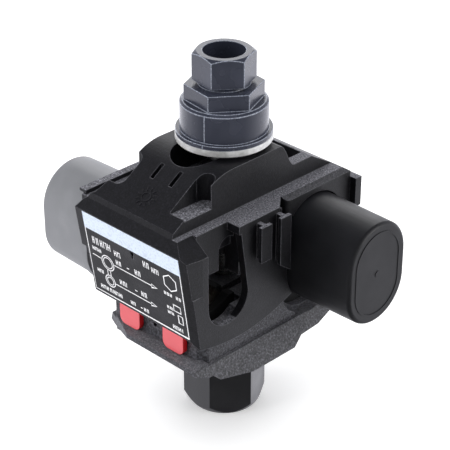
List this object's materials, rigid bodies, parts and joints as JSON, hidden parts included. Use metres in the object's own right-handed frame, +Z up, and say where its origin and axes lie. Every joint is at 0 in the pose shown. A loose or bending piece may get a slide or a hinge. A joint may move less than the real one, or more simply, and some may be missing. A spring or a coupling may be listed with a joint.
{
  "type": "insulation piercing connector",
  "caption": "Moulded two-jaw connector that clamps a tap conductor to a main conductor with toothed blades, one bolt and a shear nut.",
  "frame": {"origin": "middle of the bottom face of the bolt head cover, on the bolt axis", "axes": "+Z up the bolt, +X along the conductors, -Y towards the tap side with the label panel"},
  "size_m": [0.0704, 0.0567, 0.0921],
  "materials": {
    "jaw_black": "glass-filled moulding, lightly textured",
    "cover_black": "smooth moulding",
    "nut_grey": "satin moulding",
    "washer_steel": "zinc plated",
    "bolt_steel": "zinc plated",
    "tinned_copper": "tinned",
    "seal_rubber": "soft matte",
    "tab_red": "smooth moulding",
    "cap_black": "satin moulding",
    "cap_grey": "satin moulding"
  },
  "bodies": {
    "lower_body": {"lower_jaw": "jaw_black", "clamp_bolt": "bolt_steel", "bolt_head_cover": "cover_black", "jaw_spring": "bolt_steel", "lower_blade_left": "tinned_copper", "lower_blade_right": "tinned_copper", "lower_tap_seal": "seal_rubber", "lower_main_seal": "seal_rubber", "indicator_tab_left": "tab_red", "indicator_tab_right": "tab_red"},
    "upper_body": {"upper_jaw": "jaw_black", "washer": "washer_steel", "upper_blade_left": "tinned_copper", "upper_blade_right": "tinned_copper", "upper_tap_seal": "seal_rubber", "upper_main_seal": "seal_rubber"},
    "nut": {"shear_nut": "nut_grey", "nut_insert": "bolt_steel"},
    "main_cap": {"main_end_cap": "cap_black"},
    "tap_cap": {"tap_end_cap": "cap_grey"}
  },
  "joints": [
    {"name": "jaw_close", "type": "slide", "parent": "lower_body", "child": "upper_body", "axis": [0, 0, -1], "range_m": [0, 0.005], "deforming": ["jaw_spring"]},
    {"name": "nut_turn", "type": "hinge", "parent": "upper_body", "child": "nut", "pos_m": [0, 0, 0.08], "axis": [0, 0, -1], "range_deg": [0, 1440]},
    {"name": "main_cap_pull", "type": "slide", "parent": "upper_body", "child": "main_cap", "axis": [1, 0, 0], "range_m": [0, 0.03]},
    {"name": "tap_cap_pull", "type": "slide", "parent": "upper_body", "child": "tap_cap", "axis": [-1, 0, 0], "range_m": [0, 0.03]}
  ],
  "couplings": [
    {"joint": "jaw_close", "follows": "nut_turn", "m_per_rad": 0.00019894}
  ]
}
